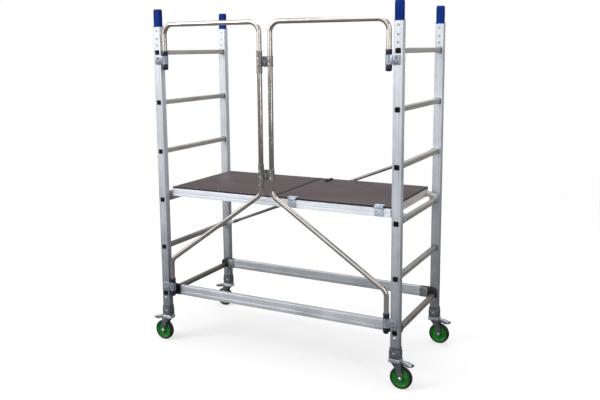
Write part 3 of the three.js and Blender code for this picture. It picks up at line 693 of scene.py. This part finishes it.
# ---------------------------------------------------------------- folding gate
GA = math.asin(39 / 675)
for tag, sx in (("l", -1), ("r", 1)):
    rot = math.pi + GA if sx > 0 else -GA
    L = Matrix.Translation((sx * 708, -366, 0)) @ Matrix.Rotation(rot, 4, "Z")
    p = Piece("gate_tube_" + tag)
    p.m = L
    path = fillet([(0, 0, 1716), (0, 0, 1978), (675, 0, 1978), (675, 0, 1014), (0, 0, 537), (0, 0, 309)], 60, 14)
    p.add(sweep(path, ring_pts(14, 36)), M_TUBE)
    p.done("frame", ["gate_leaf_" + tag], smooth=40)
    p = Piece("gate_tube_caps_" + tag)
    p.m = L
    p.add(lathe([(0, 1710.4), (12.6, 1710.4), (13.8, 1711.6), (13.8, 1716.2), (0, 1716.2)], 32), M_BLACK_AND_SHADE)
    p.add(lathe([(0, 302.6), (11.4, 302.6), (13.6, 304.8), (13.8, 309.2), (0, 309.2)], 32), M_BLACK_AND_SHADE)
    p.done("frame", [])

    for level, z0, z1, low in (("lower", 338, 388, 27), ("upper", 1744, 1794, 29)):
        cx, cy = sx * 708, -366
        p = Piece(f"gate_clamp_{level}_{tag}")
        # round clamp with rolled lips
        prof = [(15.0, z0), (18.2, z0), (19, z0 + 0.9), (19, z0 + 4), (18.1, z0 + 5), (18.1, z1 - 5), (19, z1 - 4), (19, z1 - 0.9), (18.2, z1), (15.0, z1)]
        p.add(lathe(prof, 40, "z", (cx, cy)), M_ZINC_BLUE)
        # plate folded on to the upright's front face
        xa, xb = sorted((cx + sx * 8, sx * 771.5))
        p.add(bev(block(xa, xb, -379.6, -375.1, z0, z1), 1.0), M_ZINC_BLUE)
        xm = sx * 731
        a, b = sorted((xm - sx * 1.4, xm + sx * 1.4))
        p.add(bev(block(a, b, -381.4, -375.4, z0 + 2, z1 - 2), 0.6), M_ZINC_BLUE)
        for dz in (13, z1 - z0 - 13):
            p.add(dome(5.6, 3.2, -379.5, 22, "y", (sx * 752, z0 + dz), -1), M_HINGE)
            p.add(lathe([(0, -379.4), (7.4, -379.4), (7.4, -380.3), (0, -380.3)], 24, "y", (sx * 752, z0 + dz)), M_DULL_ZINC_AND_SHADE)
        p.done("frame", [f"gate_bracket_{level}_{tag}"])
        # bearing bushes above and below the clamp
        p = Piece(f"gate_bush_{level}_{tag}")
        for b0, b1, outer_end in ((z1 + 0.2, z1 + 28.8, 1), (z0 - low + 0.2, z0 - 0.2, -1)):
            lo, hi = b0, b1
            prof = [(14.9, lo), (16.6, lo), (17.4, lo + 1.2), (17.4, lo + 8.2), (15.9, lo + 9.6), (15.9, lo + 12.0), (17.4, lo + 13.4), (17.4, hi - 1.4), (16.6, hi), (14.9, hi)]
            p.add(lathe(prof, 40, "z", (cx, cy)), M_NAVY)
        p.done("frame", [])

MIDX, MIDY = 708 - 675 * math.cos(GA), -366 - 39
for level, zc in (("lower", 1130), ("upper", 1762)):
    p = Piece("gate_hinge_leaves_" + level)
    for x, lo, hi in ((-MIDX, zc - 66, zc + 58), (MIDX, zc - 30, zc + 30)):
        prof = [(14.9, lo), (16.4, lo), (17.25, lo + 0.9), (17.25, lo + 5), (16.5, lo + 6), (16.5, hi - 6), (17.25, hi - 5), (17.25, hi - 0.9), (16.4, hi), (14.9, hi)]
        p.add(lathe(prof, 40, "z", (x, MIDY)), M_HINGE)
    p.add(bev(block(-MIDX + 14, -6.6, MIDY - 3.4, MIDY + 3.4, zc - 28, zc + 28), 1.0), M_DULL_ZINC_AND_SHADE)
    p.add(bev(block(6.6, MIDX - 14, MIDY - 3.4, MIDY + 3.4, zc - 28, zc + 28), 1.0), M_DULL_ZINC_AND_SHADE)
    for k in range(3):
        lo = zc - 28.6 + k * 19.2
        p.add(lathe([(0, lo), (7.2, lo), (7.8, lo + 0.7), (7.8, lo + 18.0), (7.2, lo + 18.7), (0, lo + 18.7)], 26, "z", (0, MIDY)), M_HINGE if k % 2 else M_DULL_ZINC_AND_SHADE)
    p.add(dome(6.4, 3.6, zc + 29.2, 22, "z", (0, MIDY), 1), M_BOLT)
    p.add(dome(6.4, 3.6, zc - 29.2, 22, "z", (0, MIDY), -1), M_BOLT)
    for x in (-MIDX, MIDX):
        for dz in (-16, 16):
            p.add(dome(4.4, 1.1, MIDY - 16.1, 18, "y", (x, zc + dz), -1), M_BOLT)
    p.done("frame", ["gate_hinge_" + level])

# ---------------------------------------------------------------- bottom braces
def brace_section(yc, z0=302.0, t=25.0, h=62.0):
    """Extruded brace: broad upper band, a deep groove, a narrow rib and a lower band, the same on both faces."""
    a = t / 2
    half = [(a, 2.0), (a - 0.6, 0.9), (a - 2, 0)]
    side = [(a - 2, 0), (a - 0.6, 0.6), (a, 2.0), (a, 16.4), (a - 1.2, 17.2), (a - 1.2, 18.8), (a, 19.6), (a, 21.8), (a - 3.9, 23.0), (a - 3.9, 29.0), (a, 30.2),
            (a, 55.4), (a - 0.8, 56.2), (a - 0.8, 57.4), (a, 58.2), (a, 60.0), (a - 0.6, 61.4), (a - 2, h)]
    return [(yc + y, z0 + z) for y, z in side] + [(yc - y, z0 + z) for y, z in reversed(side)]


for tag, sy in (("front", -1), ("rear", 1)):
    yc = sy * 318.5
    sec = brace_section(yc)
    inner = [(yc + (y - yc) * 0.66, 333 + (z - 333) * 0.92) for y, z in sec]
    p = Piece(tag + "_brace_profile")
    p.add(hollow(sec, inner, -678, 678, "x", 0.5), M_BRACE)
    p.done(tag + "_brace", [tag + "_brace"], smooth=30)
    for side, sx in (("l", -1), ("r", 1)):
        p = Piece(f"{tag}_brace_hook_{side}")
        claw = [(677, 300.4), (677, 363.6), (738, 365.6), (748, 364.8), (772, 354.4), (779, 349), (782.6, 342), (783, 304.4), (781.6, 303), (776.2, 303), (774.8, 304.4), (774.8, 329.0),
                (745.2, 329.0), (745.2, 305), (741, 301.6), (737, 300.4)]
        p.add(bev(prism([(sx * x, z) for x, z in claw], yc - 12.2, yc + 12.2, "y"), 1.6), M_CLAW)
        if tag == "front":
            for x in (700, 718):
                a, b = sorted((sx * x, sx * (x + 5)))
                p.add(bev(block(a, b, yc - 13, yc + 13, 306, 360), 1.0), M_CLAW)
        else:
            p.add(bev(block(*sorted((sx * 676.4, sx * 728)), yc - 12.9, yc + 12.9, 300.2, 363.8), 1.4), M_SLEEVE)
        p.add(bev(block(*sorted((sx * 735, sx * 760)), yc - 13, yc + 13, 338, 350), 1.4), M_CLAW)
        for fy in (-1, 1):
            for z in (345, 319):
                p.add(dome(4.6, 1.6, yc + fy * 12.7, 20, "y", (sx * 690, z), fy), M_DULL_ZINC_AND_SHADE)
        # snap-lock lever under the hook
        p.add(bev(block(*sorted((sx * 741, sx * 747)), yc - 8, yc + 8, 297.5, 309), 1.2), M_CLAW)
        p.done(tag + "_brace", [f"{tag}_brace_claw_{side}"])

# ---------------------------------------------------------------- rear diagonal
p = Piece("diagonal_tube")
zd = lambda x: 906.5 + 0.398 * x
dirn = Vector((1, 0, 0.398)).normalized()
stations = []
for x, fy, fz in ((-700, 3.4, 12.2), (-684, 3.4, 12.2), (-664, 6.4, 11.0), (-640, 9.5, 9.5), (0, 9.5, 9.5), (640, 9.5, 9.5), (664, 6.4, 11.0), (684, 3.4, 12.2), (700, 3.4, 12.2)):
    stations.append((x, fy, fz))
N = 28
v, f = [], []
upv = Vector((-0.398, 0, 1)).normalized()
for x, fy, fz in stations:
    c = Vector((x, 347, zd(x)))
    for k in range(N):
        t = 2 * math.pi * k / N
        v.append(tuple(c + Vector((0, 1, 0)) * fy * math.cos(t) + upv * fz * math.sin(t)))
for i in range(len(stations) - 1):
    for e in range(N):
        g = (e + 1) % N
        f.append((i * N + e, i * N + g, (i + 1) * N + g, (i + 1) * N + e))
f += [tuple(range(N - 1, -1, -1)), tuple((len(stations) - 1) * N + e for e in range(N))]
p.add((v, f), M_DIAG)
p.done("rear_diagonal", ["rear_diagonal_brace"], smooth=45)
p = Piece("diagonal_hooks")
for sx in (-1, 1):
    rz = RUNG_Z[3] if sx > 0 else RUNG_Z[1]
    zc = zd(sx * 690)
    hook = [(682, zc - 10), (682, zc + 12), (740, rz + 25), (748, rz + 26), (772, rz + 26), (780, rz + 23), (783, rz + 17), (783, rz - 8), (781, rz - 10), (776.4, rz - 10), (775, rz - 8),
            (775, rz + 14.9), (745, rz + 14.9), (745, rz - 9), (742, rz - 12), (737, rz - 12), (700, zc - 10)]
    p.add(bev(prism([(sx * x, z) for x, z in hook], 317.2, 323.8, "y"), 1.0), M_HOOK)
    p.add(bev(block(*sorted((sx * 683, sx * 701)), 322, 345, zc - 9, zc + 9), 1.6), M_HOOK)
    p.add(dome(6.4, 3.2, 350.2, 22, "y", (sx * 692, zd(sx * 692)), 1), M_HOOK)
    p.add(dome(6.4, 3.0, 317.4, 22, "y", (sx * 692, zc), -1), M_HOOK)
p.done("rear_diagonal", [])

# ---------------------------------------------------------------- deck frame
p = Piece("deck_rails")
Z0, Z1 = 935.0, 983.0
for sy in (-1, 1):
    sec = [(306, Z0), (306, Z0 + 3), (324.6, Z0 + 3), (324.6, Z1 - 3), (306, Z1 - 3), (306, Z1), (328.6, Z1), (329.6, Z1 - 0.5), (330, Z1 - 1.6), (330, Z1 - 6.4), (329.2, Z1 - 7.2),
           (329.2, Z1 - 8.4), (330, Z1 - 9.2), (330, Z0 + 22.4), (326.8, Z0 + 21.2), (326.8, Z0 + 15.6), (330, Z0 + 14.4), (330, Z0 + 6.6), (329.2, Z0 + 5.8), (329.2, Z0 + 4.6), (330, Z0 + 3.8),
           (330, Z0 + 1.6), (329.6, Z0 + 0.5), (328.6, Z0)]
    p.add(prism([(sy * y, z) for y, z in sec], -712, 712, "x"), M_RAIL)
p.done("deck", ["deck_frame"], smooth=30)
p = Piece("deck_beams")
for sx in (-1, 1):
    beam = [(711, Z0 + 1), (711, Z0 + 10), (709.8, Z0 + 11), (709.8, Z0 + 13), (711, Z0 + 14), (711, Z1 - 14), (709.8, Z1 - 13), (709.8, Z1 - 11), (711, Z1 - 10), (711, Z1 - 1), (684, Z1 - 1),
            (684, Z1 - 4), (707.8, Z1 - 4), (707.8, Z0 + 4), (684, Z0 + 4), (684, Z0 + 1)]
    p.add(prism([(sx * x, z) for x, z in beam], -326.6, 326.6, "y"), M_BEAM)
for x, w in ((0, 20), (-236, 14), (-474, 14)):
    sec = [(x - w, Z0 + 4), (x - w + 3, Z0 + 4), (x - w + 3, Z1 - 4), (x + w - 3, Z1 - 4), (x + w - 3, Z0 + 4), (x + w, Z0 + 4), (x + w, Z1 - 0.4), (x - w, Z1 - 0.4)]
    p.add(prism(sec, -326.7, 326.7, "y"), M_BEAM)
p.done("deck", [], smooth=30)
p = Piece("deck_hooks")
for sx in (-1, 1):
    for sy in (-1, 1):
        hook = [(711, 940), (711, 967), (736, 968), (744, 964), (750, 959.6), (772, 958.2), (780, 955), (784, 948), (784, 910), (782, 908), (776.6, 908), (775.1, 910), (775.1, 929.1),
                (744.9, 929.1), (744.9, 914), (742.6, 912), (738, 912), (736, 914), (736, 938), (734, 940)]
        p.add(bev(prism([(sx * x, z) for x, z in hook], sy * 296 - 17.6, sy * 296 + 17.6, "y"), 1.4), M_HOOK)
        for fy in (-1, 1):
            p.add(bev(prism([(sx * x, z) for x, z in [(712, 944), (712, 963), (735, 964), (748, 956), (770, 954), (778, 946), (740, 942)]], sy * 296 + fy * 17.6 - 0.9, sy * 296 + fy * 17.6 + 0.9, "y"), 0.7), M_HOOK)
        for z in (946, 961):
            p.add(dome(4.2, 2.0, sx * 706.6, 18, "x", (sy * 296, z), -sx), M_HOOK)
        # windlock flap
        p.add(bev(block(*sorted((sx * 741, sx * 746.6)), sy * 296 - 9, sy * 296 + 9, 903.5, 918), 1.2), M_BLACK_AND_SHADE)
p.done("deck", [])


# ---------------------------------------------------------------- boards
def board(name, body, nodes, x0, x1):
    p = Piece(name)
    p.add(bev(block(x0, x1, -330, 330, 983.3, 993), 0.9, 2, 60), M_FILM)
    # A dark strip 13 mm wide on top of each board along the seam is painted shade.
    seam = x1 if x0 < 0 else x0
    a, b = sorted((seam, seam + (-13.0 if x0 < 0 else 13.0)))
    p.add(bev(block(a, b, -329.8, 329.8, 992.4, 993.22), 0.12, 1), M_PLY_EDGE_AND_SHADE)
    # The board's side faces take the dark ply edge colour, made darker still as painted shade.
    return p.done(body, nodes, pick=lambda nrm, c, k: 1 if abs(nrm.z) < 0.5 else k)


board("deck_board_fixed", "deck", ["deck_board"], -712, -1.5)
board("trapdoor_board", "hatch", ["hatch_board"], 1.5, 712)
p = Piece("deck_board_rivets")
for x in (-696, -540, -384, -228, -72):
    for y in (-316, 316):
        p.add(dome(4.6, 0.9, 993, 18, "z", (x, y), 1), M_BOLT)
for y in (-158, 0, 158):
    p.add(dome(4.6, 0.9, 993, 18, "z", (-698, y), 1), M_BOLT)
p.done("deck", [])

# Hinge: fixed leaf over the rail's face, moving leaf on the trapdoor, a pin between them.
p = Piece("hatch_hinge_fixed")
HY, HZ = -335.2, 988.0
for x0 in (97, 622):
    p.add(bev(block(x0, x0 + 50, -333.4, -330.3, 938.5, 984.0), 0.9), M_STRAP)
    p.add(bev(block(x0, x0 + 50, -336.4, -332.4, 979, 986), 0.9), M_STRAP)
    for a, b in ((x0, x0 + 14.6), (x0 + 35.4, x0 + 50)):
        p.add(lathe([(2.6, a), (4.3, a), (4.3, b), (2.6, b)], 22, "x", (HY, HZ)), M_STRAP)
    for xx in (x0 + 12, x0 + 38):
        for zz in (948, 967):
            p.add(dome(4.2, 1.9, -333.3, 18, "y", (xx, zz), -1), M_ZINC)
p.add(lathe([(0, 88), (2.2, 88), (2.5, 88.4), (2.5, 680.6), (2.2, 681), (0, 681)], 18, "x", (HY, HZ)), M_BLACK_AND_SHADE)
p.done("deck", ["hatch_hinge"])
p = Piece("hatch_hinge_leaf")
for x0 in (97, 622):
    p.add(lathe([(2.7, x0 + 15.2), (4.3, x0 + 15.2), (4.3, x0 + 34.8), (2.7, x0 + 34.8)], 22, "x", (HY, HZ)), M_ZINC)
    p.add(bev(block(x0 + 15.2, x0 + 34.8, -338.2, -329, 990.6, 993.4), 0.8), M_ZINC)
    p.add(bev(block(x0 - 1, x0 + 51, -331.5, -301, 993.1, 998.0), 1.4), M_STRAP)
    for xx in (x0 + 6, x0 + 44):
        for yy in (-324, -309):
            p.add(dome(3.6, 1.5, 997.8, 18, "z", (xx, yy), 1), M_ZINC)
p.done("hatch", [])

# Turn latch of the trapdoor.
p = Piece("hatch_turn_latch")
p.add(lathe([(0, 993.5), (13.2, 993.5), (14, 994.4), (14, 999.4), (12.6, 1001.6), (9.4, 1002.2), (8.8, 1003.4), (7.6, 1004), (0, 1004)], 36, "z", (75, 238)), M_LATCH)
bar = [(64.5, 238), (85.5, 238), (86, 290), (85.2, 312), (81.6, 321), (75, 324), (68.4, 321), (64.8, 312), (64, 290)]
p.add(bev(prism(bar, 993.5, 1000.8), 1.5), M_LATCH)
p.add(bev(prism(rounded(10, 56, 4.6, 5, 75, 284), 1000.2, 1001.6), 0.6), M_LATCH)
p.done("hatch_latch", ["hatch_latch"])


# ---------------------------------------------------------------- stage
def stage():
    me = bpy.data.meshes.new("floor")
    n = 96
    R = 80.0
    me.from_pydata([(R * math.cos(2 * math.pi * i / n), R * math.sin(2 * math.pi * i / n), 0.0) for i in range(n)], [], [tuple(range(n))])
    floor = bpy.data.objects.new("floor", me)
    bpy.context.collection.objects.link(floor)
    # Pale paper near the object that turns into the white backdrop further out; it gives back less light than it shows.
    n = Nodes("floor_paper")
    f = n.noise(n.coords(), 1.4, 4.0, 0.5)
    path = n.add("ShaderNodeLightPath")
    seen = path.outputs["Is Camera Ray"]
    col = n.mixc(seen, (0.16, 0.16, 0.165), n.ramp(f, [(0.3, (0.86, 0.86, 0.865)), (0.7, (0.88, 0.88, 0.885))]))
    n.finish(col, n.mapr(f, 0, 1, 0.85, 0.95), Specular_IOR_Level=0.1)
    glow = n.add("ShaderNodeEmission")
    glow.inputs["Strength"].default_value = 1.0
    length = n.add("ShaderNodeVectorMath", operation="LENGTH")
    n.link(n.coords((1, 1, 0)), length.inputs[0])
    far = n.mapr(length.outputs["Value"], 2.2, 7.5, 0.0, 1.0)
    mix = n.add("ShaderNodeMixShader")
    n.link(n.math("MULTIPLY", n.mapr(far, 0.0, 1.0, 0.55, 1.0), seen), mix.inputs[0])
    n.link(n.b.outputs[0], mix.inputs[1])
    n.link(glow.outputs[0], mix.inputs[2])
    n.link(mix.outputs[0], n.out.inputs[0])
    me.materials.append(n.m)

    # White backdrop; the light itself comes from a bright front left, a dim right and rear, and a middling ceiling.
    world = bpy.data.worlds.new("studio")
    bpy.context.scene.world = world
    world.use_nodes = True
    t = world.node_tree
    t.nodes.clear()
    out = t.nodes.new("ShaderNodeOutputWorld")
    bg = t.nodes.new("ShaderNodeBackground")
    white = t.nodes.new("ShaderNodeBackground")
    white.inputs[0].default_value = (1, 1, 1, 1)
    tc = t.nodes.new("ShaderNodeTexCoord")

    def lobe(direction, stops):
        dot = t.nodes.new("ShaderNodeVectorMath")
        dot.operation = "DOT_PRODUCT"
        dot.inputs[1].default_value = Vector(direction).normalized()
        mr = t.nodes.new("ShaderNodeMapRange")
        ramp = t.nodes.new("ShaderNodeValToRGB")
        t.links.new(tc.outputs["Generated"], dot.inputs[0])
        t.links.new(dot.outputs["Value"], mr.inputs[0])
        mr.inputs[1].default_value, mr.inputs[2].default_value = -1.0, 1.0
        e = ramp.color_ramp.elements
        while len(e) < len(stops):
            e.new(0.5)
        for k, (pos, c) in enumerate(stops):
            e[k].position = pos
            e[k].color = (c, c, c * 1.02, 1)
        t.links.new(mr.outputs[0], ramp.inputs[0])
        return ramp.outputs[0]

    both = t.nodes.new("ShaderNodeVectorMath")
    both.operation = "ADD"
    t.links.new(lobe((-0.64, -0.765, 0.03), FRONT_LIGHT), both.inputs[0])
    t.links.new(lobe((0, 0, 1), CEILING), both.inputs[1])
    t.links.new(both.outputs[0], bg.inputs[0])
    bg.inputs[1].default_value = 1.0
    lp = t.nodes.new("ShaderNodeLightPath")
    mix = t.nodes.new("ShaderNodeMixShader")
    t.links.new(lp.outputs["Is Camera Ray"], mix.inputs[0])
    t.links.new(bg.outputs[0], mix.inputs[1])
    t.links.new(white.outputs[0], mix.inputs[2])
    t.links.new(mix.outputs[0], out.inputs[0])

    def area(name, loc, size, power, aim=(0, 0, 1.0), size_y=None):
        d = bpy.data.lights.new(name, "AREA")
        d.shape, d.size, d.energy = "SQUARE", size, power
        if size_y:
            d.shape, d.size_y = "RECTANGLE", size_y
        o = bpy.data.objects.new(name, d)
        bpy.context.collection.objects.link(o)
        o.location = loc
        o.rotation_euler = (Vector(aim) - Vector(loc)).to_track_quat("-Z", "Y").to_euler()

    area("key", (-3.2, -3.6, 4.2), 2.2, 130)
    area("top", (0.4, 0.6, 5.4), 3.0, 110)
    area("strip", (3.4, -2.2, 2.2), 0.5, 26, (0, 0, 1.1), 2.6)


FRONT_LIGHT = [(0.0, 0.46), (0.35, 0.3), (0.62, 0.38), (0.86, 1.28), (1.0, 1.9)]
CEILING = [(0.48, 0.0), (0.62, 0.1), (0.8, 0.35), (1.0, 0.45)]
stage()
